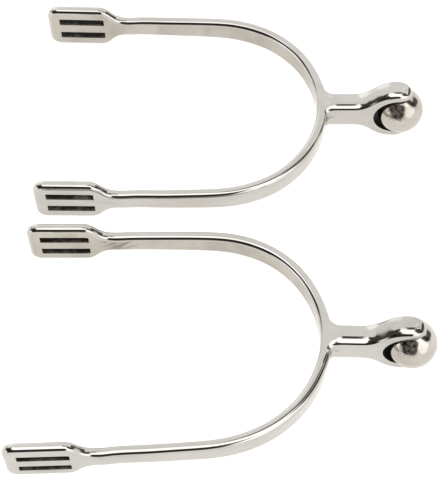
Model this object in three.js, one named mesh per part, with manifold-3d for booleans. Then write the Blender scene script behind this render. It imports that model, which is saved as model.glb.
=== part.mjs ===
// A pair of roller-ball spurs.
//
// Each spur is a U-shaped heel band with a two-slot strap plate at each end, a
// neck welded to the back of the band that opens into an upright fork, a ball
// that rolls between the prongs, and the axle pin that carries it.
//
// Millimetres, +Z up. Each spur is drawn in its own frame: the origin is the
// ball's centre, +X runs along the neck towards the ball, Z is the axle, and
// the band's two arms point towards -X. The pair then lies on the plane z = 0.

import * as THREE from 'three';
import { mergeVertices } from 'three/addons/utils/BufferGeometryUtils.js';
import Module from 'manifold-3d';

const wasm = await Module();
wasm.setup();

// ---------------------------------------------------------------- dimensions

// Heel band
const BAND_THICK = 3.5;        // radial thickness of the bar
const BAND_HEIGHT = 7.2;       // height of the bar where it meets the plates
const BAND_EDGE = 1.1;         // rounding of its edges
const BAND_HALF = [            // half centreline, (x, y), from the heel outwards
  [-27.25, 0], [-27.62, 4.9], [-28.5, 8.9], [-29.87, 12.9], [-31.22, 16.0],
  [-33.48, 20.0], [-36.5, 24.0], [-40.55, 28.0], [-45.83, 31.73], [-51.9, 34.5],
  [-58.3, 36.3], [-66.5, 37.2], [-74.9, 37.65], [-83.5, 38.0], [-92.0, 38.3],
];
const BAND_SWELL = [           // height of the bar along the arm, (x, height)
  [-96, 7.2], [-82, 7.5], [-66, 8.0], [-52, 8.5], [-38, 8.6], [-26, 8.4],
];
const BAND_STEPS = 66;         // steps of the bend

// Strap plates
const PLATE_CENTRE = -112.4;   // x of the middle of the slots
const PLATE_HEIGHT = 17.7;
const PLATE_THICK = 3.54;
const PLATE_EDGE = 0.9;        // rounding of the plate's edges
const PLATE_TIP = 12.1;        // from the middle of the slots to the tip
const PLATE_CORNER = 3.8;      // corner radius at the tip
const SHOULDER = [             // upper shoulder, (distance from slot middle, half height)
  [7.2, 8.85], [8.6, 8.4], [9.9, 7.25], [11.2, 5.75], [12.6, 4.5], [14.3, 3.8], [16.5, 3.62],
];
const PLATE_ROOT = 19.5;       // where the plate's own bar ends
const SLOT_LENGTH = 16;        // for a 16 mm strap
const SLOT_HEIGHT = 3.07;
const SLOT_BAR = 3.75;         // bar between the two slots

// How the arms are set by hand: [outward bend of the arm, distance of the plate's
// middle from the spur's centreline, outward angle of the plate in degrees]
const FAR_ARMS = { left: [-0.17, 38.66, 1.9], right: [-1.93, 36.42, -1.0] };
const NEAR_ARMS = { left: [-2.74, 35.4, -1.2], right: [2.02, 41.42, 3.2] };
const BEND_START = -37.33;     // the set begins behind the heel
const BEND_LENGTH = 60;

// Neck and fork
const NECK_WIDTH = 7.3;
const NECK_HALF_HEIGHT = 5.0;
const FORK_HALF_HEIGHT = 11.4;
const FORK_OUTLINE = [         // upper outer profile, (x, half height), root to tip
  [-16.4, 5.0], [-14.6, 5.15], [-12.7, 5.8], [-10.8, 7.1], [-9.3, 8.4],
  [-7.8, 9.6], [-6.0, 10.65], [-4.1, 11.22], [-2.2, 11.4], [-0.5, 11.37],
  [1.2, 11.1], [2.7, 10.5], [4.0, 9.4],
];
const NECK_EDGE = 1.5;         // rounding of the neck's edges
const FLARE_START = -21.6;     // the neck widens from here to the band
const FLARE_HALF_WIDTH = 6.9;
const FORK_SLOT_HALF = 8.45;   // half height of the fork's slot
const FORK_SLOT_ROOT = -0.9;  // x of the centre of the slot's round root
const NECK_RISE = 0.4;         // the neck sits this much above the middle of the band
const WELD_GAP = 0.3;          // between the neck's root and the band

// Ball and axle
const BALL_RADIUS = 7.94;
const BALL_DROP = 0.3;         // the ball hangs on its pin, down towards the lower prong
const BALL_BORE = 1.36;
const PIN_RADIUS = 1.25;
const PIN_HOLE = 1.3;
const PIN_HALF_LENGTH = 11.3;

// How the pair lies
const PITCH = 1.02;           // each spur rests on its plates and its lower prong
const FAR_SPUR = { x: 62.06, y: 46.18, yaw: 0.09 };
const NEAR_SPUR = { x: 60.58, y: -45.12, yaw: -1.29 };

// ------------------------------------------------------------------- helpers

function solid(geometry) {
  const g = geometry.clone();
  g.deleteAttribute('normal');
  g.deleteAttribute('uv');
  const m = mergeVertices(g, 1e-4);
  return new wasm.Manifold(new wasm.Mesh({
    numProp: 3,
    vertProperties: new Float32Array(m.attributes.position.array),
    triVerts: new Uint32Array(m.index.array),
  }));
}

function surface(manifold) {
  const mesh = manifold.getMesh();
  const g = new THREE.BufferGeometry();
  g.setAttribute('position', new THREE.BufferAttribute(new Float32Array(mesh.vertProperties), 3));
  g.setIndex(new THREE.BufferAttribute(new Uint32Array(mesh.triVerts), 1));
  g.computeVertexNormals();
  return g;
}

const shapeOf = (points) => new THREE.Shape(points.map(([x, y]) => new THREE.Vector2(x, y)));

// A smooth line through control points, as a list of [x, y].
function smooth(points, n) {
  return new THREE.SplineCurve(points.map(([x, y]) => new THREE.Vector2(x, y)))
    .getPoints(n).map((p) => [p.x, p.y]);
}

// Rounded rectangle, a wide (x) and b high (y).
function roundedRectangle(a, b, r, segments) {
  const points = [];
  const corners = [[1, 1, 0], [-1, 1, 90], [-1, -1, 180], [1, -1, 270]];
  for (const [sx, sy, start] of corners) {
    for (let i = 0; i <= segments; i++) {
      const t = THREE.MathUtils.degToRad(start + 90 * i / segments);
      points.push([sx * (a / 2 - r) + r * Math.cos(t), sy * (b / 2 - r) + r * Math.sin(t)]);
    }
  }
  return points;
}

// An outline in X and Z, extruded across Y to the full width with rounded edges.
function sideExtrusion(outline, width, edge, segments) {
  const g = new THREE.ExtrudeGeometry(shapeOf(outline), edge > 0 ? {
    depth: width - 2 * edge, bevelEnabled: true, bevelThickness: edge,
    bevelSize: edge, bevelOffset: -edge, bevelSegments: segments,
  } : { depth: width, bevelEnabled: false });
  g.translate(0, 0, edge > 0 ? -(width / 2 - edge) : -width / 2);
  g.rotateX(Math.PI / 2);
  return g;
}

// An outline in X and Y, extruded upwards to the full height with rounded edges.
function planExtrusion(outline, height, edge, segments) {
  const g = new THREE.ExtrudeGeometry(shapeOf(outline), edge > 0 ? {
    depth: height - 2 * edge, bevelEnabled: true, bevelThickness: edge,
    bevelSize: edge, bevelOffset: -edge, bevelSegments: segments,
  } : { depth: height, bevelEnabled: false });
  g.translate(0, 0, edge > 0 ? -(height / 2 - edge) : -height / 2);
  return g;
}

// ----------------------------------------------------------------- heel band

// One arm's centreline, from the heel to the plate's root, and its plate's place.
function arm(side, [bend, reach, degrees]) {
  const set = (x) => bend * Math.pow(Math.max(0, (BEND_START - x) / BEND_LENGTH), 1.5);
  const line = BAND_HALF.map(([x, y]) => [x, side * (y + set(x))]);
  const angle = THREE.MathUtils.degToRad(degrees);
  const centre = [PLATE_CENTRE, side * reach];
  const along = [Math.cos(angle), -side * Math.sin(angle)];      // from the tip to the heel
  const root = PLATE_ROOT - 1.5;
  for (const d of [root, root - 3, root - 6]) {
    line.push([centre[0] + d * along[0], centre[1] + d * along[1]]);
  }
  return { line, centre, along };
}

function centreline(arms) {
  const left = arm(1, arms.left);
  const right = arm(-1, arms.right);
  const points = [...left.line.slice(1).reverse(), ...right.line];
  const path = new THREE.CatmullRomCurve3(
    points.map(([x, y]) => new THREE.Vector3(x, y, 0)), false, 'centripetal');
  return { path, plates: [left, right] };
}

function plateSolid({ centre, along }) {
  const h = PLATE_HEIGHT / 2;
  const top = [];
  for (let i = 0; i <= 4; i++) {
    const t = THREE.MathUtils.degToRad(180 - 90 * i / 4);
    top.push([-PLATE_TIP + PLATE_CORNER + PLATE_CORNER * Math.cos(t),
      h - PLATE_CORNER + PLATE_CORNER * Math.sin(t)]);
  }
  top.push(...smooth(SHOULDER, 10));
  top.push([PLATE_ROOT, BAND_HEIGHT / 2 + 0.02]);
  const outline = [...top, ...top.map(([x, z]) => [x, -z]).reverse()];
  let plate = solid(sideExtrusion(outline, PLATE_THICK, PLATE_EDGE, 2));
  for (const side of [1, -1]) {
    const slot = new THREE.BoxGeometry(SLOT_LENGTH, 3 * PLATE_THICK, SLOT_HEIGHT);
    slot.translate(0, 0, side * (SLOT_BAR + SLOT_HEIGHT) / 2);
    plate = plate.subtract(solid(slot));
  }
  const g = surface(plate);
  g.rotateZ(Math.atan2(along[1], along[0]));
  g.translate(centre[0], centre[1], 0);
  return solid(g);
}

// Height of the bar at x.
function heightAt(x) {
  const table = BAND_SWELL;
  if (x <= table[0][0]) return table[0][1];
  for (let i = 1; i < table.length; i++) {
    if (x <= table[i][0]) {
      const u = (x - table[i - 1][0]) / (table[i][0] - table[i - 1][0]);
      return table[i - 1][1] + u * (table[i][1] - table[i - 1][1]);
    }
  }
  return table[table.length - 1][1];
}

function heelBand(arms) {
  const { path, plates } = centreline(arms);
  const section = shapeOf(roundedRectangle(BAND_HEIGHT, BAND_THICK, BAND_EDGE, 2));
  const bar = new THREE.ExtrudeGeometry(section, {
    steps: BAND_STEPS, bevelEnabled: false, extrudePath: path,
  });
  const at = bar.attributes.position;
  for (let i = 0; i < at.count; i++) at.setZ(i, at.getZ(i) * heightAt(at.getX(i)) / BAND_HEIGHT);
  let band = solid(bar);
  for (const plate of plates) band = band.add(plateSolid(plate));
  return surface(band);
}

// ------------------------------------------------------------- neck and fork

function forkOutline() {
  const top = [[-31, NECK_HALF_HEIGHT], ...smooth(FORK_OUTLINE, 22), [6, 6]];
  return [...top, ...top.map(([x, z]) => [x, -z]).reverse()];
}

function tonguePlan() {
  const r = NECK_WIDTH / 2 + 0.01;
  const points = [[-31, -r]];
  for (let i = 0; i <= 16; i++) {
    const t = THREE.MathUtils.degToRad(-90 + 180 * i / 16);
    points.push([r * Math.cos(t), r * Math.sin(t)]);
  }
  points.push([-31, r]);
  return points;
}

function flarePlan() {
  const half = [[FLARE_START + 3, NECK_WIDTH / 2 - 0.05], [FLARE_START, NECK_WIDTH / 2 - 0.05]];
  const steps = 7;
  const width = FLARE_HALF_WIDTH - NECK_WIDTH / 2;
  const depth = 4.6;
  for (let i = 1; i <= steps; i++) {
    const t = THREE.MathUtils.degToRad(90 * i / steps);
    half.push([FLARE_START - depth * Math.sin(t), NECK_WIDTH / 2 + width * (1 - Math.cos(t))]);
  }
  half.push([-30, FLARE_HALF_WIDTH]);
  return [...half.map(([x, y]) => [x, -y]).reverse(), ...half].reverse();
}

function slotCutter() {
  const outline = [[14, -FORK_SLOT_HALF], [14, FORK_SLOT_HALF]];
  for (let i = 0; i <= 20; i++) {
    const t = THREE.MathUtils.degToRad(90 + 180 * i / 20);
    outline.push([FORK_SLOT_ROOT + FORK_SLOT_HALF * Math.cos(t), FORK_SLOT_HALF * Math.sin(t)]);
  }
  return sideExtrusion(outline, 40, 0, 0);
}

function neckFork(arms) {
  const bar = solid(sideExtrusion(forkOutline(), NECK_WIDTH, NECK_EDGE, 3))
    .intersect(solid(planExtrusion(tonguePlan(), 40, 0, 0)));
  const flare = solid(planExtrusion(flarePlan(), 2 * NECK_HALF_HEIGHT - 0.1, NECK_EDGE, 3));
  const hole = new THREE.CylinderGeometry(PIN_HOLE, PIN_HOLE, 60, 24);
  hole.rotateX(Math.PI / 2);

  // The root follows the outside of the band, and nothing reaches past it.
  const { path } = centreline(arms);
  const outer = [];
  const n = 60;
  for (let i = 0; i <= n; i++) {
    const u = 0.35 + 0.3 * i / n;
    const p = path.getPoint(u);
    const t = path.getTangent(u);
    const o = BAND_THICK / 2 + WELD_GAP;
    const side = Math.sign(t.y) || 1;
    outer.push([p.x + o * t.y * side, p.y - o * t.x * side]);
  }
  outer.push([-70, outer[n][1]], [-70, outer[0][1]]);
  const behind = solid(planExtrusion(outer.reverse(), 60, 0, 0));

  return surface(bar.add(flare)
    .subtract(behind)
    .subtract(solid(slotCutter()))
    .subtract(solid(hole)));
}

// ------------------------------------------------------------- ball and axle

function rollerBall() {
  const start = Math.asin(BALL_BORE / BALL_RADIUS);
  const steps = 18;
  const profile = [];
  for (let i = 0; i <= steps; i++) {
    const t = start + (Math.PI - 2 * start) * i / steps;
    profile.push(new THREE.Vector2(BALL_RADIUS * Math.sin(t), -BALL_RADIUS * Math.cos(t)));
  }
  profile.push(profile[0].clone());
  const g = new THREE.LatheGeometry(profile, 32);
  g.rotateX(Math.PI / 2);
  return surface(solid(g));
}

function axlePin() {
  const h = PIN_HALF_LENGTH;
  const r = PIN_RADIUS;
  const half = [[r, h - 0.35], [r - 0.2, h - 0.1], [0.6, h - 0.02], [0, h]];
  const profile = [...half.map(([x, z]) => [x, -z]).reverse(), ...half]
    .map(([x, z]) => new THREE.Vector2(x, z));
  const g = new THREE.LatheGeometry(profile, 24);
  g.rotateX(Math.PI / 2);
  return surface(solid(g));
}

// ------------------------------------------------------------------ assembly

const polished = () => new THREE.MeshStandardMaterial({
  color: 0xd3d1cc, roughness: 0.14, metalness: 1 });
const ballSteel = () => new THREE.MeshStandardMaterial({
  color: 0xc3c0ba, roughness: 0.22, metalness: 1 });
const pinSteel = () => new THREE.MeshStandardMaterial({
  color: 0xb9b7b2, roughness: 0.28, metalness: 1 });

function mesh(name, geometry, material) {
  const m = new THREE.Mesh(geometry, material);
  m.name = name;
  return m;
}

function spur(prefix, arms, place) {
  const group = new THREE.Group();
  group.rotation.order = 'ZYX';
  group.rotation.z = THREE.MathUtils.degToRad(place.yaw);
  group.rotation.y = -THREE.MathUtils.degToRad(PITCH);
  group.position.set(place.x, place.y, 0);
  const neck = new THREE.Group();
  neck.position.z = NECK_RISE;
  neck.add(mesh(prefix + '_neck_fork', neckFork(arms), polished()));
  neck.add(mesh(prefix + '_axle_pin', axlePin(), pinSteel()));
  const ball = mesh(prefix + '_roller_ball', rollerBall(), ballSteel());
  ball.position.z = -BALL_DROP;
  neck.add(ball);
  group.add(mesh(prefix + '_heel_band', heelBand(arms), polished()));
  group.add(neck);
  group.updateMatrixWorld(true);
  group.position.z = -new THREE.Box3().setFromObject(group, true).min.z;
  return group;
}

const spurs = new THREE.Group();
spurs.name = 'spurs';
spurs.add(spur('far', FAR_ARMS, FAR_SPUR));
spurs.add(spur('near', NEAR_ARMS, NEAR_SPUR));

// The origin is under the middle of the pair, on the surface it lies on.
spurs.updateMatrixWorld(true);
const box = new THREE.Box3().setFromObject(spurs, true);
spurs.position.set(-(box.min.x + box.max.x) / 2, -(box.min.y + box.max.y) / 2, -box.min.z);
spurs.updateMatrixWorld(true);

export default spurs;
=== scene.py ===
import math

import bpy
import bmesh
import numpy as np
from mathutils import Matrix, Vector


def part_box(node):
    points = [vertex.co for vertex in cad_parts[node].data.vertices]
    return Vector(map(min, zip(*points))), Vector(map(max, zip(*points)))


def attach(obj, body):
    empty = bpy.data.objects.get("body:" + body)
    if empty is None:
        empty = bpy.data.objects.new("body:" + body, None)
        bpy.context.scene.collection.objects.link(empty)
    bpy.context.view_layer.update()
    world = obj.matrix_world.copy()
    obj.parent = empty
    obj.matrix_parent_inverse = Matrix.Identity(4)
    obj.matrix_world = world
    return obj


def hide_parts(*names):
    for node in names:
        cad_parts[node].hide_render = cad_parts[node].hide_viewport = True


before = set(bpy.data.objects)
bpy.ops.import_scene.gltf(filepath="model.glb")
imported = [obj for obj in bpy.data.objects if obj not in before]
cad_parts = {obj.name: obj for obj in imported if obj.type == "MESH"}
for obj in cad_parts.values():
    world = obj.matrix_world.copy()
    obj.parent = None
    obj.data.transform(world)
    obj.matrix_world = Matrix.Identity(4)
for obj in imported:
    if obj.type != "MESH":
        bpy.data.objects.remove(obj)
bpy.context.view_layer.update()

import openvdb
from mathutils import Matrix, Vector

MM = 0.001

# --------------------------------------------------------------------------
# Shape of one spur, in millimetres, in its own frame: origin on the axle at
# the middle of the heel band's height, +X from the band to the ball.
# --------------------------------------------------------------------------
BAND_HALF = [(-27.25, 0), (-27.62, 4.9), (-28.5, 8.9), (-29.87, 12.9), (-31.22, 16.0),
             (-33.48, 20.0), (-36.5, 24.0), (-40.55, 28.0), (-45.83, 31.73), (-51.9, 34.5),
             (-58.3, 36.3), (-66.5, 37.2), (-74.9, 37.65), (-83.5, 38.0), (-92.0, 38.3)]
BEND_START, BEND_LENGTH = -37.33, 60.0
ARMS = {"far": {1: (-0.17, 38.66, 1.9), -1: (-1.93, 36.42, -1.0)},
        "near": {1: (-2.74, 35.4, -1.2), -1: (2.02, 41.42, 3.2)}}
YAW = {"far": 0.09, "near": -1.29}
PITCH = 1.02
PLATE_CENTRE, PLATE_TIP, PLATE_HALF = -112.4, 12.1, 8.85
PLATE_CORNER, PLATE_ROOT = 3.8, 19.5
SHOULDER = [(7.2, 8.85), (8.6, 8.4), (9.9, 7.25), (11.2, 5.75), (12.6, 4.5), (14.3, 3.8), (16.5, 3.62), (19.5, 3.6)]
SWELL = [(-96, 3.6), (-82, 3.75), (-66, 4.0), (-52, 4.25), (-38, 4.3), (-26, 4.2)]
BAND_HALF_THICK = 1.75
SLOT_HALF, SLOT_LOW, SLOT_HIGH = 8.0, 1.875, 4.945
CROWN, CORNER = 0.50, 0.88           # how far the polished edge is crowned, and its corner radius
NECK_HALF_WIDTH, NECK_HALF, NECK_RISE = 3.65, 5.0, 0.4
NECK_CROWN = 0.72
FORK = [(-16.4, 5.0), (-14.6, 5.15), (-12.7, 5.8), (-10.8, 7.1), (-9.3, 8.4), (-7.8, 9.6),
        (-6.0, 10.65), (-4.1, 11.22), (-2.2, 11.4), (-0.5, 11.37), (1.2, 11.1), (2.7, 10.5), (4.0, 9.4)]
FORK_SLOT, FORK_SLOT_ROOT = 8.45, -0.9
FILLET_FAR, FILLET_NEAR = 3.2, 1.5
BALL_R, BALL_BORE, BALL_DROP = 7.93, 1.36, 0.3
PIN_R, PIN_HALF = 1.25, 11.3

# The studio: brightness of the dome, its lamps and its dark shapes
# (centre and half size in degrees from overhead, turn, softness, amount)
SKY = 1.17
FLOOR_GLOW = 0.92
LIGHTS = [(3, 1, 30, 15, -17, 0.12, 1.0), (47, -40, 30, 32, 0, 0.25, 0.75), (-84, -24, 16, 16, 0, 0.3, 0.7),
          (-34, 62, 22, 17, -20, 0.35, 0.45), (14, 21.5, 11, 4.5, 0, 0.5, 0.6)]
DARKS = [(-22, -49, 42, 36, 0, 0.16, 0.96), (-48, 2, 37, 16, -40, 0.26, 0.93), (-53, -17, 14, 17, 0, 0.25, 0.92),
         (66, 24, 13, 27, 0, 0.25, 0.88), (45, 5, 25, 12.5, -20, 0.30, 0.92), (9, 18.0, 11, 5.6, 0, 0.35, 0.94),
         (-8, 18.0, 9, 4.2, 0, 0.5, 0.25), (-33, 15, 10.5, 5, 0, 0.25, 0.9)]
WARP = 4.0


def smoothstep(a, b, x):
    t = np.clip((x - a) / (b - a), 0, 1)
    return t * t * (3 - 2 * t)


def gauss(y, sigma):
    """Gaussian smoothing along axis 0 that keeps the ends, sigma in samples."""
    n = int(3 * sigma) + 1
    k = np.exp(-0.5 * (np.arange(-n, n + 1) / sigma) ** 2)
    k /= k.sum()
    y2 = y if y.ndim == 2 else y[:, None]
    head = 2 * y2[0] - y2[n:0:-1]
    tail = 2 * y2[-1] - y2[-2:-n - 2:-1]
    p = np.vstack([head, y2, tail])
    out = np.stack([np.convolve(p[:, i], k, "valid") for i in range(p.shape[1])], 1)
    return out if y.ndim == 2 else out[:, 0]


def spline(points, step):
    """Natural cubic spline through points, by chord length."""
    p = np.array(points, float)
    t = np.concatenate([[0], np.cumsum(np.linalg.norm(np.diff(p, axis=0), axis=1))])
    n = len(p)
    h = np.diff(t)
    A = np.zeros((n, n))
    B = np.zeros((n, p.shape[1]))
    A[0, 0] = A[-1, -1] = 1
    for i in range(1, n - 1):
        A[i, i - 1], A[i, i], A[i, i + 1] = h[i - 1], 2 * (h[i - 1] + h[i]), h[i]
        B[i] = 6 * ((p[i + 1] - p[i]) / h[i] - (p[i] - p[i - 1]) / h[i - 1])
    m = np.linalg.solve(A, B)
    u = np.linspace(0, t[-1], int(t[-1] / step) + 1)
    i = np.clip(np.searchsorted(t, u, "right") - 1, 0, n - 2)
    a = ((t[i + 1] - u) / h[i])[:, None]
    b = 1 - a
    hh = (h[i] ** 2)[:, None] / 6
    return a * p[i] + b * p[i + 1] + ((a ** 3 - a) * m[i] + (b ** 3 - b) * m[i + 1]) * hh


def centreline(arms):
    """Even points from the left tip round the heel to the right tip, 0.25 mm apart."""
    halves = []
    for side in (1, -1):
        bend, reach, deg = arms[side]
        a = math.radians(deg)
        along = np.array([math.cos(a), -side * math.sin(a)])
        c = np.array([PLATE_CENTRE, side * reach])
        pts = [(x, side * (y + bend * max(0, (BEND_START - x) / BEND_LENGTH) ** 1.5)) for x, y in BAND_HALF]
        for d in (18.0, 15.0, 12.0, 8.0, 4.0, 0.0, -6.0, -PLATE_TIP):
            pts.append(tuple(c + d * along))
        halves.append(pts)
    pts = halves[0][:0:-1] + halves[1]
    q = spline(pts, 0.25)
    s1 = gauss(q, 12)
    q2 = s1 + gauss(q - s1, 12)
    # the plates stay where they are
    L = np.concatenate([[0], np.cumsum(np.linalg.norm(np.diff(q, axis=0), axis=1))])
    w = smoothstep(30, 40, np.minimum(L, L[-1] - L))[:, None]
    q = q * (1 - w) + q2 * w
    L = np.concatenate([[0], np.cumsum(np.linalg.norm(np.diff(q, axis=0), axis=1))])
    u = np.linspace(0, L[-1], int(round(L[-1] / 0.25)) + 1)
    return np.stack([np.interp(u, L, q[:, 0]), np.interp(u, L, q[:, 1])], 1), u


def band_half_height(x):
    xs, hs = zip(*SWELL)
    return np.interp(x, xs, hs)


class Line:
    """The band's centreline with its normals and the height of the bar along it."""

    def __init__(self, arms):
        self.p, self.u = centreline(arms)
        self.length = self.u[-1]
        t = np.gradient(self.p, self.u, axis=0)
        t /= np.linalg.norm(t, axis=1)[:, None]
        self.t = t
        self.n = np.stack([t[:, 1] * -1, t[:, 0]], 1)          # outward normal, set below
        mid = len(self.p) // 2
        if self.n[mid, 0] < 0:
            self.n = -self.n
        d = np.minimum(self.u, self.length - self.u) - PLATE_TIP   # distance from the slots' middle
        sx, sh = zip(*SHOULDER)
        fine = spline(SHOULDER, 0.1)
        shoulder = np.interp(d, fine[:, 0], fine[:, 1], left=PLATE_HALF)
        bar = band_half_height(self.p[:, 0])
        w = smoothstep(13.5, 19.0, d)
        h = np.where(d < 7.0, PLATE_HALF, shoulder * (1 - w) + bar * w)
        self.h = np.where(d < 5.5, PLATE_HALF, gauss(h, 3.0))

    def at(self, s, w, z):
        """World-free position of flat point (s along, w across, z up)."""
        x = np.interp(s, self.u, self.p[:, 0])
        y = np.interp(s, self.u, self.p[:, 1])
        nx = np.interp(s, self.u, self.n[:, 0])
        ny = np.interp(s, self.u, self.n[:, 1])
        return np.stack([x + w * nx, y + w * ny, z + 0 * x], -1)


def edge_profile(a, crown, corner):
    """The polished edge from the inner face over the top to the outer face: (inset, w)."""
    half = []
    for k in range(6):
        w = (a - corner) * k / 6
        half.append((crown * (w / a) ** 2, w))
    for k in range(9):
        th = math.radians(90 * k / 8)
        w = a - corner + corner * math.sin(th)
        half.append((crown * (w / a) ** 2 + corner * (1 - math.cos(th)), w))
    return [(e, -w) for e, w in half[:0:-1]] + half


def band_mesh(name, line, place, slot_material):
    L = line.length
    # stations along the outline, from the left tip's corner to the right tip's
    step = 0.75
    R = PLATE_CORNER
    left = []                                   # (s, z, ns, nz)
    for k in range(0, 8):
        th = math.radians(180 - 90 * k / 8)
        left.append((R + R * math.cos(th), PLATE_HALF - R + R * math.sin(th), math.cos(th), math.sin(th)))
    marks_and_inner_shade = [R] + list(np.linspace(R, PLATE_TIP - SLOT_HALF, 2)[1:]) \
        + list(np.linspace(PLATE_TIP - SLOT_HALF, PLATE_TIP + SLOT_HALF, 25)[1:])
    s = marks_and_inner_shade[-1]
    body = list(marks_and_inner_shade)
    n_mid = int((L - 2 * s) / step)
    mid = list(np.linspace(s, L - s, n_mid + 1)[1:-1])
    # finer through the shoulders
    extra = [x + 0.375 for x in mid if x < s + 12 or x > L - s - 12.5]
    mid = sorted(mid + extra)
    body = body + mid + [L - m for m in reversed(marks_and_inner_shade)]
    body = np.array(body)
    h = np.interp(body, line.u, line.h)
    slope = np.interp(body, line.u, np.gradient(line.h, line.u))
    norm = np.sqrt(1 + slope ** 2)
    top = left + [(b, hh, -sl / nn, 1 / nn) for b, hh, sl, nn in zip(body, h, slope, norm)] \
        + [(L - a_, z_, -ns, nz) for a_, z_, ns, nz in reversed(left)]
    top = np.array(top)
    prof = edge_profile(BAND_HALF_THICK, CROWN, CORNER)
    K = len(prof)
    ef = prof[0][0]
    fracs = None
    # rows across the face: exact at the slots, in proportion elsewhere
    rows_plate = np.array([PLATE_HALF - ef, 6.6, SLOT_HIGH, SLOT_LOW, 0.0, -SLOT_LOW, -SLOT_HIGH, -6.6, -(PLATE_HALF - ef)])
    fr = rows_plate / rows_plate[0]
    NR = len(fr)

    verts, faces, mats, sharp = [], [], [], []
    index = {}

    def add(s_, w_, z_):
        verts.append((s_, w_, z_))
        return len(verts) - 1

    N = len(top)
    # closed outline: top stations, right tip edge, bottom stations, left tip edge
    def ring(e, w):
        tops = [add(t[0] - e * t[2], w, t[1] - e * t[3]) for t in top]
        zt = top[-1][1] - e * top[-1][3]
        right = [add(L - e, w, zt * f) for f in fr[1:-1]]
        bots = [add(t[0] - e * t[2], w, -(t[1] - e * t[3])) for t in top[::-1]]
        lefts = [add(e, w, -zt * f) for f in fr[1:-1]]
        return tops + right + bots + lefts, tops, right, bots[::-1], lefts[::-1]

    rings = [ring(e, w) for e, w in prof]
    M = len(rings[0][0])
    for k in range(K - 1):
        a_, b_ = rings[k][0], rings[k + 1][0]
        for j in range(M):
            j2 = (j + 1) % M
            faces.append((a_[j], a_[j2], b_[j2], b_[j]))
            mats.append(0)
    slot_edges = {}
    for face_i, k in ((0, 0), (1, K - 1)):
        _, tops, right, bots, lefts = rings[k]
        w = prof[k][1]
        grid = []
        for i in range(N):
            col = [tops[i]]
            s_ = verts[tops[i]][0]
            z0 = verts[tops[i]][2]
            for r in range(1, NR - 1):
                if i == 0:
                    col.append(lefts[r - 1])
                elif i == N - 1:
                    col.append(right[r - 1])
                else:
                    col.append(add(s_, w, z0 * fr[r]))
            col.append(bots[i])
            grid.append(col)
        for i in range(N - 1):
            sm = 0.5 * (verts[grid[i][0]][0] + verts[grid[i + 1][0]][0])
            dm = min(sm, L - sm) - PLATE_TIP
            for r in range(NR - 1):
                hole = abs(dm) < SLOT_HALF and r in (2, 5)
                q = (grid[i][r], grid[i + 1][r], grid[i + 1][r + 1], grid[i][r + 1])
                if hole:
                    slot_edges[(face_i, i, r)] = q
                    continue
                faces.append(q if face_i else q[::-1])
                mats.append(0)
    # slot walls, with the slot's own four borders
    holes = {}
    for (f, i, r), q in slot_edges.items():
        holes.setdefault((r, i < N // 2), []).append(i)
    # the walls take the second material: painted shade, near-black and darker deeper in
    steps_w = 5
    for (r, is_left), cols in holes.items():
        cols = sorted(set(cols))
        i0, i1 = cols[0], cols[-1] + 1

        def border(f):
            out = []
            for i in range(i0, i1):
                out.append(slot_edges[(f, i, r)][0])
            out.append(slot_edges[(f, i1 - 1, r)][1])
            for i in range(i1 - 1, i0 - 1, -1):
                out.append(slot_edges[(f, i, r)][2])
            out.append(slot_edges[(f, i0, r)][3])
            return out
        b0, b1 = border(0), border(1)
        prev = b0
        for k in range(1, steps_w + 1):
            if k < steps_w:
                f = k / steps_w
                cur = []
                for a_, b_ in zip(b0, b1):
                    v = np.array(verts[a_]) * (1 - f) + np.array(verts[b_]) * f
                    cur.append(add(*v))
            else:
                cur = b1
            m = len(cur)
            for j in range(m):
                j2 = (j + 1) % m
                faces.append((prev[j], cur[j], cur[j2], prev[j2]))
                mats.append(1)
            prev = cur
        for b in (b0, b1):
            m = len(b)
            sharp += [tuple(sorted((b[j], b[(j + 1) % m]))) for j in range(m)]
    V = np.array(verts)
    P = line.at(V[:, 0], V[:, 1], V[:, 2])
    ob = make_mesh(name, P, faces, place, materials=mats, sharp=set(sharp))
    # depth into the slot, read by the slot material to paint the walls darker inward as painted shade
    deep = ob.data.attributes.new("deep", "FLOAT", "POINT")
    deep.data.foreach_set("value", np.clip(1 - np.abs(V[:, 1]) / BAND_HALF_THICK, 0, 1).astype(np.float32))
    # the inner face: the steel material paints it darker and beige as painted shade, and keeps the graze to it
    inner = ob.data.attributes.new("inner", "FLOAT", "POINT")
    inner.data.foreach_set("value", smoothstep(0.98, 1.0, -V[:, 1] / BAND_HALF_THICK).astype(np.float32))
    return ob


def make_mesh(name, P, faces, place, materials=None, sharp=None, normals=None, recalc=True):
    me = bpy.data.meshes.new(name)
    W = np.asarray(P) * MM
    R = np.array(place.to_3x3())
    T = np.array(place.translation)
    W = W @ R.T + T
    me.from_pydata([tuple(v) for v in W], [], [tuple(int(i) for i in f) for f in faces])
    if materials is not None:
        me.polygons.foreach_set("material_index", np.array(materials, np.int32))
    if recalc:
        bm = bmesh.new()
        bm.from_mesh(me)
        bmesh.ops.recalc_face_normals(bm, faces=bm.faces)
        if sharp:
            bm.edges.ensure_lookup_table()
            for e in bm.edges:
                if tuple(sorted((e.verts[0].index, e.verts[1].index))) in sharp:
                    e.smooth = False
        bm.to_mesh(me)
        bm.free()
    me.polygons.foreach_set("use_smooth", [True] * len(me.polygons))
    me.update()
    if normals is not None:
        N = np.asarray(normals) @ R.T
        me.normals_split_custom_set_from_vertices([tuple(v) for v in N])
    ob = bpy.data.objects.new(name, me)
    bpy.context.scene.collection.objects.link(ob)
    return ob


# --------------------------------------------------------------------------
# Neck, fork and weld: an implicit solid, meshed and settled on its surface
# --------------------------------------------------------------------------
FORK_LINE = spline([(-60, 5.0), (-40, 5.0), (-30, 5.0), (-22, 5.0)] + FORK + [(4.9, 8.3)], 0.1)


def fork_half(x):
    return np.interp(x, FORK_LINE[:, 0], FORK_LINE[:, 1])


def round_and(a, b, r):
    """Intersection with a rounded edge of radius r."""
    p, q = np.maximum(a + r, 0), np.maximum(b + r, 0)
    return np.minimum(np.maximum(a + r, b + r), 0) + np.sqrt(p * p + q * q) - r


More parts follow.
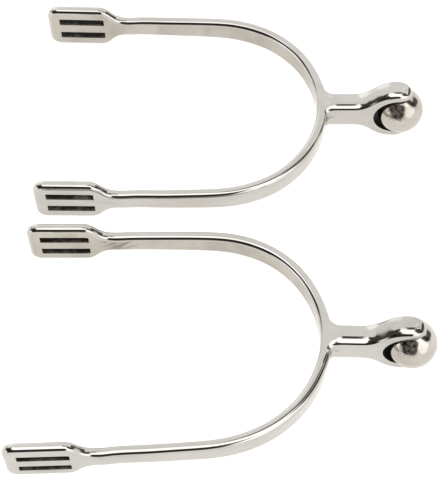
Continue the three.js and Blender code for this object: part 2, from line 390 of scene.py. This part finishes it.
def round_or(a, b, r):
    """Union with a fillet of radius r."""
    p, q = np.maximum(r - a, 0), np.maximum(r - b, 0)
    return np.maximum(np.minimum(a, b), r) - np.sqrt(p * p + q * q)


class Neck:
    def __init__(self, line):
        m = (line.p[:, 0] > -60)
        self.cp, self.cn = line.p[m], line.n[m]

    def lateral(self, x, y):
        """Signed distance from the band's centreline, outward positive."""
        sh = x.shape
        q = np.stack([x.ravel(), y.ravel()], 1)
        out = np.empty(len(q))
        for i in range(0, len(q), 20000):
            d = q[i:i + 20000, None, :] - self.cp[None, ::2, :]
            r = (d ** 2).sum(2)
            j = r.argmin(1)
            # refine on the tangent plane of the nearest sample
            dd = d[np.arange(len(j)), j]
            n = self.cn[::2][j]
            out[i:i + 20000] = (dd * n).sum(1)
        return out.reshape(sh)

    def __call__(self, x, y, z, lat=None, parts=False):
        lat = self.lateral(x, y) if lat is None else lat
        a = BAND_HALF_THICK
        ay = np.abs(y)
        bar = np.sqrt((0.70 * np.maximum(x + 1.6, 0)) ** 2 + y * y) - NECK_HALF_WIDTH       # prongs end in a long curve
        outer = lat - a
        fillet = FILLET_NEAR + (FILLET_FAR - FILLET_NEAR) * smoothstep(-2.5, 2.5, y)
        plan = np.where(lat > 0, round_or(outer, bar, fillet), np.abs(lat) - a)
        # how far a point belongs to the neck rather than to the band
        f = smoothstep(-0.9, 5.2, lat) * smoothstep(10.5, 5.5, ay)
        hb = band_half_height(x)
        hn = fork_half(x)
        half = hb + (hn - hb) * f
        rise = NECK_RISE * f
        T = a + (NECK_HALF_WIDTH - a) * f
        D = CROWN + (NECK_CROWN - CROWN) * f
        tip = smoothstep(-12, -3, x)
        D = D + tip * np.where(y < 0, 0.10, -0.40) * smoothstep(0, 1.5, ay)
        depth = np.clip(-plan, 0, None)
        drop = D * np.clip(1 - depth / T, 0, 1.2) ** (2 + 0.6 * f)
        slope = (fork_half(x + 0.05) - fork_half(x - 0.05)) / 0.1 * f
        side = (np.abs(z - rise) - half + drop) / np.sqrt(1 + slope ** 2)
        r = CORNER - 0.26 * f + 0.12 * tip
        d = round_and(side, plan, r)
        zz = np.abs(z - NECK_RISE)
        slot = np.where(x > FORK_SLOT_ROOT, zz - FORK_SLOT,
                        np.sqrt(np.minimum(x - FORK_SLOT_ROOT, 0) ** 2 + zz * zz) - FORK_SLOT)
        d = round_and(d, -slot, 0.28)
        if parts:
            band = round_and(np.abs(z) - hb + CROWN * np.clip(1 - np.clip(a - np.abs(lat), 0, None) / a, 0, 1.2) ** 2,
                             np.abs(lat) - a, CORNER)
            return d, band, slot
        return d


def neck_mesh(name, line, place):
    f = Neck(line)
    h = 0.22
    xs = np.arange(-34.5, 5.5, h)
    ys = np.arange(-13.5, 13.5, h)
    zs = np.arange(-12.6, 13.2, h)
    X, Y = np.meshgrid(xs, ys, indexing="ij")
    lat = f.lateral(X, Y)
    D = np.empty((len(xs), len(ys), len(zs)), np.float32)
    for k, zv in enumerate(zs):
        D[:, :, k] = f(X, Y, zv + 0 * X, lat)
    # close the piece where the sampled block ends
    grid = openvdb.FloatGrid(3.0)
    grid.copyFromArray(np.clip(D, -3, 3).astype(np.float32))
    pts, quads = grid.convertToQuads(isovalue=0.0)
    P = pts.astype(float) * h + np.array([xs[0], ys[0], zs[0]])
    e = 0.02
    for _ in range(4):
        d = f(P[:, 0], P[:, 1], P[:, 2])
        g = np.stack([f(P[:, 0] + e, P[:, 1], P[:, 2]) - f(P[:, 0] - e, P[:, 1], P[:, 2]),
                      f(P[:, 0], P[:, 1] + e, P[:, 2]) - f(P[:, 0], P[:, 1] - e, P[:, 2]),
                      f(P[:, 0], P[:, 1], P[:, 2] + e) - f(P[:, 0], P[:, 1], P[:, 2] - e)], 1) / (2 * e)
        gg = np.maximum((g ** 2).sum(1), 0.25)
        P = P - np.clip(d / gg, -0.1, 0.1)[:, None] * g
    nrm = g / np.maximum(np.linalg.norm(g, axis=1), 1e-6)[:, None]
    d, band, slot = f(P[:, 0], P[:, 1], P[:, 2], parts=True)
    # drop what is only the band's own surface, and the block's cut ends
    keep = (band > 0.006) & (P[:, 0] > xs[0] + 1.5 * h)
    kq = keep[quads].all(1)
    quads = quads[kq]
    used = np.unique(quads)
    remap = -np.ones(len(P), int)
    remap[used] = np.arange(len(used))
    quads = remap[quads]
    P, nrm, slot = P[used], nrm[used], slot[used]
    # the fork's slot faces take the second material, painted near-black as painted shade in the gap round the ball;
    # with deep at 1 they get no painted rim light
    inside = (np.abs(slot[quads]).max(1) < 0.06)
    ob = make_mesh(name, P, quads, place, materials=inside.astype(int), recalc=False)
    deep = ob.data.attributes.new("deep", "FLOAT", "POINT")
    deep.data.foreach_set("value", np.ones(len(P), np.float32))
    # openvdb's quads may face either way: compare with the gradient
    me = ob.data
    fn = np.array([p.normal[:] for p in me.polygons])
    vn = nrm[quads].mean(1) @ np.array(place.to_3x3()).T
    if (fn * vn).sum(1).mean() < 0:
        me.flip_normals()
    me.normals_split_custom_set_from_vertices([tuple(v) for v in (nrm @ np.array(place.to_3x3()).T)])
    return ob


def lathe(name, profile, place, segments=96, closed=True, centre=(0, 0, 0), materials=None):
    """Turned piece about Z: profile is (radius, z) in mm."""
    prof = np.array(profile, float)
    n = len(prof)
    ang = np.linspace(0, 2 * math.pi, segments, endpoint=False)
    P, faces, mats = [], [], []
    ring = []
    for i, (r, z) in enumerate(prof):
        if r < 1e-6:
            P.append((centre[0], centre[1], centre[2] + z))
            ring.append([len(P) - 1] * segments)
        else:
            ids = []
            for a in ang:
                P.append((centre[0] + r * math.cos(a), centre[1] + r * math.sin(a), centre[2] + z))
                ids.append(len(P) - 1)
            ring.append(ids)
    pairs = [(i, i + 1) for i in range(n - 1)] + ([(n - 1, 0)] if closed else [])
    for i, i2 in pairs:
        for j in range(segments):
            j2 = (j + 1) % segments
            q = [ring[i][j], ring[i][j2], ring[i2][j2], ring[i2][j]]
            q2 = []
            for v in q:
                if v not in q2:
                    q2.append(v)
            if len(q2) > 2:
                faces.append(q2)
                mats.append(materials[i] if materials else 0)
    return make_mesh(name, np.array(P), faces, place, materials=mats)


# --------------------------------------------------------------------------
# Materials
# --------------------------------------------------------------------------
class Nodes:
    def __init__(self, name, world=False):
        if world:
            self.owner = bpy.data.worlds.new(name)
        else:
            self.owner = bpy.data.materials.new(name)
        self.owner.use_nodes = True
        self.t = self.owner.node_tree
        self.t.nodes.clear()

    def add(self, kind, inputs=None, **props):
        n = self.t.nodes.new(kind)
        for k, v in props.items():
            setattr(n, k, v)
        for k, v in (inputs or {}).items():
            s = n.inputs[k]
            if isinstance(v, bpy.types.NodeSocket):
                self.t.links.new(v, s)
            else:
                s.default_value = v
        return n

    def math(self, op, a, b=0.0, c=None, clamp=False):
        n = self.add("ShaderNodeMath", operation=op, use_clamp=clamp)
        for i, v in enumerate((a, b, c)):
            if v is None:
                continue
            if isinstance(v, bpy.types.NodeSocket):
                self.t.links.new(v, n.inputs[i])
            else:
                n.inputs[i].default_value = v
        return n.outputs[0]

    def band(self, v, lo, hi, soft):
        """1 where lo < v < hi, with soft edges."""
        a = self.add("ShaderNodeMapRange", {"Value": v, "From Min": lo - soft, "From Max": lo + soft},
                     interpolation_type="SMOOTHSTEP").outputs[0]
        b = self.add("ShaderNodeMapRange", {"Value": v, "From Min": hi - soft, "From Max": hi + soft,
                                            "To Min": 1.0, "To Max": 0.0}, interpolation_type="SMOOTHSTEP").outputs[0]
        return self.math("MULTIPLY", a, b)

    def noise(self, vec, scale, detail=3.0, rough=0.5, stretch=None, seed=0.0):
        if stretch:
            vec = self.add("ShaderNodeMapping", {"Vector": vec, "Scale": stretch, "Location": (seed, seed * 0.7, seed * 1.3)}).outputs[0]
        n = self.add("ShaderNodeTexNoise", {"Vector": vec, "Scale": scale, "Detail": detail, "Roughness": rough})
        return n.outputs[0]

    def ramp(self, fac, stops):
        n = self.add("ShaderNodeValToRGB", {"Fac": fac})
        el = n.color_ramp.elements
        while len(el) < len(stops):
            el.new(0.5)
        for e, (p, c) in zip(el, stops):
            e.position = p
            e.color = (*c, 1) if len(c) == 3 else c
        return n.outputs[0]


# Where the neck was welded on and dressed by hand, and a grazed stretch of one arm (metres)
WELDS = [(0.0353, 0.0403, 0.0112), (0.0338, -0.0504, 0.0112)]
GRAZE = (-0.0365, -0.0075, 0.0108)


def near_point(m, co, centre, radii, soft=0.5):
    """1 close to a point, fading out at the given radii."""
    v = m.add("ShaderNodeVectorMath", {0: co, 1: centre}, operation="SUBTRACT").outputs[0]
    v = m.add("ShaderNodeVectorMath", {0: v, 1: radii}, operation="DIVIDE").outputs[0]
    q = m.add("ShaderNodeVectorMath", {0: v}, operation="LENGTH").outputs["Value"]
    return m.add("ShaderNodeMapRange", {"Value": q, "From Min": 1 - soft, "From Max": 1.0, "To Min": 1.0, "To Max": 0.0},
                 interpolation_type="SMOOTHSTEP").outputs[0]


def polished_steel(name, tint, dark, rough=(0.03, 0.10), wave=0.010, scratch=0.35, seed=0.0, marks_and_inner_shade=False, smudges=()):
    """Mirror-polished stainless steel: soft waves left by the buffing wheel, hairlines and faint smears."""
    m = Nodes(name)
    co = m.add("ShaderNodeTexCoord").outputs["Object"]
    big = m.noise(co, 55.0, 2.0, 0.5, (1, 1, 1), seed)
    mid = m.noise(co, 210.0, 3.0, 0.55, (1, 1, 1), seed + 3)
    smear = m.noise(co, 120.0, 4.0, 0.6, (0.35, 1.0, 1.6), seed + 7)
    hair = m.noise(co, 900.0, 2.0, 0.6, (0.12, 1.0, 2.2), seed + 11)
    tone = m.ramp(big, [(0.30, tint[0]), (0.5, tint[1]), (0.70, tint[2])])
    dirt = m.ramp(smear, [(0.36, dark), (0.55, (1, 1, 1))])
    col = m.add("ShaderNodeMix", {"Factor": 0.55, "A": tone, "B": dirt}, data_type="RGBA", blend_type="MULTIPLY")
    ro = m.add("ShaderNodeMapRange", {"Value": smear, "From Min": 0.35, "From Max": 0.7,
                                      "To Min": rough[1], "To Max": rough[0]}).outputs[0]
    ro = m.math("ADD", ro, m.math("MULTIPLY", m.math("SUBTRACT", hair, 0.5), 0.03))
    b1 = m.add("ShaderNodeBump", {"Height": big, "Strength": 1.0, "Distance": wave * 0.001})
    b2 = m.add("ShaderNodeBump", {"Height": mid, "Strength": 1.0, "Distance": wave * 0.00022, "Normal": b1.outputs[0]})
    b3 = m.add("ShaderNodeBump", {"Height": hair, "Strength": scratch, "Distance": 0.0000012, "Normal": b2.outputs[0]})
    colour, normal, metal = col.outputs["Result"], b3.outputs[0], 1.0
    if smudges:
        # fingered grime: brown and mottled, thin enough for the steel to show through
        worn = m.math("MAXIMUM", *[near_point(m, co, c, (0.0058, 0.0050, 0.0050), 0.7) for c in smudges])
        blot = m.noise(co, 800.0, 4.0, 0.65, (1.0, 1.0, 1.4), 17.0)
        worn = m.math("MULTIPLY", worn, m.add("ShaderNodeMapRange", {"Value": blot, "From Min": 0.44, "From Max": 0.60}).outputs[0])
        colour = m.add("ShaderNodeMix", {"Factor": m.math("MULTIPLY", worn, 0.80), "A": colour, "B": (0.27, 0.225, 0.17, 1)}, data_type="RGBA").outputs["Result"]
        ro = m.math("ADD", ro, m.math("MULTIPLY", worn, 0.07))
        metal = m.math("SUBTRACT", 1.0, m.math("MULTIPLY", worn, 0.55))
    if marks_and_inner_shade:
        # the inside face of the heel band is painted darker and more beige: painted shade, standing for the shaded
        # floor it reflects
        inside = m.add("ShaderNodeAttribute", attribute_name="inner").outputs["Fac"]
        inside = m.math("MULTIPLY", inside, m.add("ShaderNodeMapRange", {"Value": big, "From Min": 0.25, "From Max": 0.6,
                                                                        "To Min": 0.6, "To Max": 1.0}).outputs[0])
        inner_painted_shade = m.ramp(m.noise(co, 75.0, 3.0, 0.55, (1.0, 1.0, 0.7), 13.0),
                        [(0.38, (0.385, 0.365, 0.33)), (0.58, (0.485, 0.466, 0.425))])
        colour = m.add("ShaderNodeMix", {"Factor": inside, "A": colour, "B": inner_painted_shade}, data_type="RGBA").outputs["Result"]
        # the dressed weld: matt, pitted, a little green and brown
        weld = m.math("MAXIMUM", *[near_point(m, co, c, (0.0030, 0.0024, 0.0042), 0.45) for c in WELDS])
        pits = m.noise(co, 1300.0, 3.0, 0.6, (1.0, 1.0, 0.5), 21.0)
        spots = m.ramp(pits, [(0.42, (0.09, 0.10, 0.07)), (0.50, (0.36, 0.34, 0.28)), (0.58, (0.66, 0.60, 0.56))])
        colour = m.add("ShaderNodeMix", {"Factor": m.math("MULTIPLY", weld, 0.85), "A": colour, "B": spots}, data_type="RGBA").outputs["Result"]
        ro = m.math("ADD", ro, m.math("MULTIPLY", weld, 0.22))
        normal = m.add("ShaderNodeBump", {"Height": m.math("MULTIPLY", pits, weld), "Strength": 1.0, "Distance": 0.0004,
                                          "Normal": normal}).outputs[0]
        # the graze: slanting scuffs across the arm
        turned = m.add("ShaderNodeMapping", {"Vector": co, "Rotation": (0.0, 0.52, 0.0)}).outputs[0]
        scuff = m.noise(turned, 520.0, 3.0, 0.6, (0.16, 1.0, 1.3), 31.0)
        graze = m.math("MULTIPLY", m.math("MULTIPLY", near_point(m, co, GRAZE, (0.0085, 0.004, 0.0062), 0.6),
                                          m.add("ShaderNodeAttribute", attribute_name="inner").outputs["Fac"]),
                       m.add("ShaderNodeMapRange", {"Value": scuff, "From Min": 0.47, "From Max": 0.57}).outputs[0])
        colour = m.add("ShaderNodeMix", {"Factor": m.math("MULTIPLY", graze, 0.80), "A": colour, "B": (0.13, 0.125, 0.11, 1)}, data_type="RGBA").outputs["Result"]
        ro = m.math("ADD", ro, m.math("MULTIPLY", graze, 0.15))
        normal = m.add("ShaderNodeBump", {"Height": graze, "Strength": 1.0, "Distance": 0.00003, "Normal": normal}, invert=True).outputs[0]
    p = m.add("ShaderNodeBsdfPrincipled", {"Base Color": colour, "Metallic": metal, "Roughness": ro, "Normal": normal})
    m.add("ShaderNodeOutputMaterial", {"Surface": p.outputs[0]})
    return m.owner


def raw_steel_slot_shade(name, low, high):
    """The unpolished steel inside a punched slot or the fork: dark scale with a little bare metal, painted near-black
    as painted shade for the recess.
    """
    m = Nodes(name)
    co = m.add("ShaderNodeTexCoord").outputs["Object"]
    a = m.noise(co, 700.0, 4.0, 0.65, (0.5, 1.0, 1.0), 2.0)
    b = m.noise(co, 160.0, 2.0, 0.5, (1, 1, 1), 5.0)
    # painted light: lighter near the slot's openings and darker deeper in, standing for the light falling off into the
    # recess
    deep = m.add("ShaderNodeAttribute", attribute_name="deep").outputs["Fac"]
    painted_rim_light = m.math("SUBTRACT", 1.0, m.math("MULTIPLY", deep, 1.25), clamp=True)
    k = m.math("ADD", m.math("MULTIPLY", a, b), m.math("MULTIPLY", painted_rim_light, 0.20))
    col = m.ramp(k, [(0.28, low), (0.52, high)])
    bump = m.add("ShaderNodeBump", {"Height": a, "Strength": 0.6, "Distance": 0.00005})
    ro = m.add("ShaderNodeMapRange", {"Value": b, "To Min": 0.5, "To Max": 0.8}).outputs[0]
    p = m.add("ShaderNodeBsdfPrincipled", {"Base Color": col, "Metallic": 0.6, "Roughness": ro, "Normal": bump.outputs[0]})
    m.add("ShaderNodeOutputMaterial", {"Surface": p.outputs[0]})
    return m.owner


STEEL = polished_steel("polished_steel", [(0.51, 0.50, 0.48), (0.535, 0.53, 0.515), (0.555, 0.55, 0.54)],
                       (0.86, 0.85, 0.83), marks_and_inner_shade=True)
BALL = polished_steel("ball_steel", [(0.47, 0.44, 0.39), (0.52, 0.505, 0.48), (0.545, 0.535, 0.52)],
                      (0.74, 0.69, 0.60), rough=(0.045, 0.17), wave=0.08, seed=4.0,
                      smudges=[(0.0563, 0.0412, 0.0173), (0.0550, -0.0500, 0.0172)])
PIN = polished_steel("pin_steel", [(0.55, 0.54, 0.52), (0.58, 0.57, 0.55), (0.62, 0.61, 0.59)],
                     (0.8, 0.79, 0.77), rough=(0.12, 0.25), seed=9.0)
# near-black: painted shade for the slots, the fork's gap and the ball's bore
RAW_SLOT_SHADE = raw_steel_slot_shade("raw_steel_slot_shade", (0.010, 0.009, 0.008), (0.21, 0.195, 0.155))

# --------------------------------------------------------------------------
# The pieces
# --------------------------------------------------------------------------
for spur in ("far", "near"):
    lo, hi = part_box(spur + "_roller_ball")
    R = (Matrix.Rotation(math.radians(YAW[spur]), 4, "Z") @ Matrix.Rotation(-math.radians(PITCH), 4, "Y"))
    centre = Vector(((lo.x + hi.x) / 2, (lo.y + hi.y) / 2, (lo.z + hi.z) / 2))
    T = centre - (R.to_3x3() @ Vector((0, 0, (NECK_RISE - BALL_DROP) * MM)))
    place = Matrix.Translation(T) @ R
    line = Line(ARMS[spur])

    band = band_mesh(spur + "_band_polished", line, place, RAW_SLOT_SHADE)
    band.data.materials.append(STEEL)
    band.data.materials.append(RAW_SLOT_SHADE)
    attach(band, spur + "_spur")
    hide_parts(spur + "_heel_band")

    neck = neck_mesh(spur + "_neck_polished", line, place)
    neck.data.materials.append(STEEL)
    neck.data.materials.append(RAW_SLOT_SHADE)
    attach(neck, spur + "_spur")
    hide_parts(spur + "_neck_fork")

    th0 = math.asin((BALL_BORE + 0.25) / BALL_R)
    prof = [(BALL_R * math.sin(t), -BALL_R * math.cos(t)) for t in np.linspace(th0, math.pi - th0, 72)]
    zt = prof[-1][1]
    prof += [(BALL_BORE + 0.08, zt - 0.05), (BALL_BORE, zt - 0.25), (BALL_BORE, 0), (BALL_BORE, -zt + 0.25), (BALL_BORE + 0.08, -zt + 0.05)]
    # the bore takes the second material: painted shade, near-black
    mats = [0] * 71 + [0, 1, 1, 1, 1, 0]
    ball = lathe(spur + "_ball_turned", prof, place, 128, True, (0, 0, NECK_RISE - BALL_DROP), mats)
    ball.data.materials.append(BALL)
    ball.data.materials.append(RAW_SLOT_SHADE)
    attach(ball, spur + "_ball")
    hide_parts(spur + "_roller_ball")

    h = PIN_HALF - 0.02
    half = [(0, h), (0.45, h - 0.01), (0.85, h - 0.05), (1.1, h - 0.13), (1.2, h - 0.22), (PIN_R, h - 0.42), (PIN_R, 8.0)]
    prof = half + [(r, -z) for r, z in half[::-1]]
    pin = lathe(spur + "_pin_peened", prof, place, 48, False, (0, 0, NECK_RISE))
    pin.data.materials.append(PIN)
    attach(pin, spur + "_spur")
    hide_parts(spur + "_axle_pin")

# --------------------------------------------------------------------------
# Floor, light and camera
# --------------------------------------------------------------------------
me = bpy.data.meshes.new("floor")
S = 4.0
me.from_pydata([(-S, -S, 0), (S, -S, 0), (S, S, 0), (-S, S, 0)], [], [(0, 1, 2, 3)])
floor = bpy.data.objects.new("floor", me)
bpy.context.scene.collection.objects.link(floor)
floor.location.z = -0.0001
fm = Nodes("light_table")
fp = fm.add("ShaderNodeBsdfPrincipled", {"Base Color": (0.36, 0.35, 0.335, 1), "Roughness": 0.9,
                                         "Emission Color": (1.0, 0.972, 0.935, 1), "Emission Strength": FLOOR_GLOW})
fm.add("ShaderNodeOutputMaterial", {"Surface": fp.outputs[0]})
me.materials.append(fm.owner)

# The studio round the table: px, py are degrees from overhead, +X right and +Y away
w = Nodes("studio", world=True)
d = w.add("ShaderNodeTexCoord").outputs["Generated"]
sep = w.add("ShaderNodeSeparateXYZ", {"Vector": d})
x, y, z = sep.outputs
flat = w.math("MAXIMUM", w.math("SQRT", w.math("ADD", w.math("MULTIPLY", x, x), w.math("MULTIPLY", y, y))), 1e-4)
zen = w.math("MULTIPLY", w.math("ARCCOSINE", z), 180 / math.pi)
wob = w.add("ShaderNodeTexNoise", {"Vector": d, "Scale": 3.2, "Detail": 3.0, "Roughness": 0.55})
wx, wy, wz = w.add("ShaderNodeSeparateXYZ", {"Vector": wob.outputs["Color"]}).outputs
wx = w.math("MULTIPLY", w.math("SUBTRACT", wx, 0.5), 4 * WARP)
wy = w.math("MULTIPLY", w.math("SUBTRACT", wy, 0.5), 4 * WARP)
px = w.math("ADD", w.math("MULTIPLY", w.math("DIVIDE", x, flat), zen), wx)
py = w.math("ADD", w.math("MULTIPLY", w.math("DIVIDE", y, flat), zen), wy)


def blob(cx, cy, hx, hy, rot=0.0, soft=0.15, power=4.0):
    """1 inside a soft-edged rounded box in the dome's own plane."""
    cr, sr = math.cos(math.radians(rot)), math.sin(math.radians(rot))
    dx, dy = w.math("SUBTRACT", px, cx), w.math("SUBTRACT", py, cy)
    u = w.math("ADD", w.math("MULTIPLY", dx, cr / hx), w.math("MULTIPLY", dy, sr / hx))
    v = w.math("ADD", w.math("MULTIPLY", dx, -sr / hy), w.math("MULTIPLY", dy, cr / hy))
    q = w.math("ADD", w.math("POWER", w.math("ABSOLUTE", u), power), w.math("POWER", w.math("ABSOLUTE", v), power))
    q = w.math("POWER", q, 1.0 / power)
    return w.add("ShaderNodeMapRange", {"Value": q, "From Min": 1 - soft, "From Max": 1 + soft, "To Min": 1.0, "To Max": 0.0},
                 interpolation_type="SMOOTHSTEP").outputs[0]


def shade(lum, amount, m):
    return w.math("MULTIPLY", lum, w.math("SUBTRACT", 1.0, w.math("MULTIPLY", m, amount)))


lum = w.math("ADD", SKY, 0.0)
for cx, cy, hx, hy, rot, soft, add in LIGHTS:
    lum = w.math("ADD", lum, w.math("MULTIPLY", blob(cx, cy, hx, hy, rot, soft), add))
for cx, cy, hx, hy, rot, soft, amount in DARKS:
    lum = shade(lum, amount, blob(cx, cy, hx, hy, rot, soft))
below = w.add("ShaderNodeMapRange", {"Value": zen, "From Min": 89.5, "From Max": 90.5}).outputs[0]
lum = w.add("ShaderNodeMix", {"Factor": below, "A": lum, "B": 1.3}).outputs[0]
tint = w.ramp(w.math("DIVIDE", lum, 1.3), [(0.0, (1.0, 0.90, 0.80)), (0.5, (1.0, 0.97, 0.94)), (1.0, (1.0, 0.98, 0.955))])
bg = w.add("ShaderNodeBackground", {"Color": tint, "Strength": lum})
w.add("ShaderNodeOutputWorld", {"Surface": bg.outputs[0]})
bpy.context.scene.world = w.owner

CAM = dict(f=1450.43, down=1.0214, roll=0.0091, pan=-0.0020, x=-3.027, y=-257.136, h=416.318)
cam = bpy.data.cameras.new("camera")
cam.sensor_fit = "HORIZONTAL"
cam.sensor_width = 36.0
cam.lens = CAM["f"] * 36.0 / 441.0
cam.clip_start, cam.clip_end = 0.01, 20.0
co = bpy.data.objects.new("camera", cam)
fwd = Vector((0, math.cos(CAM["down"]), -math.sin(CAM["down"])))
up = Vector((0, math.sin(CAM["down"]), math.cos(CAM["down"])))
right = Vector((1, 0, 0))
c, s = math.cos(CAM["roll"]), math.sin(CAM["roll"])
right, up = c * right + s * up, -s * right + c * up
M = Matrix((right, up, -fwd)).transposed().to_4x4()
M = Matrix.Rotation(CAM["pan"], 4, "Z") @ M
M.translation = Vector((CAM["x"], CAM["y"], CAM["h"])) * MM
co.matrix_world = M
bpy.context.scene.collection.objects.link(co)
bpy.context.scene.camera = co
bpy.context.scene.view_settings.view_transform = "Standard"
bpy.context.scene.view_settings.look = "None"
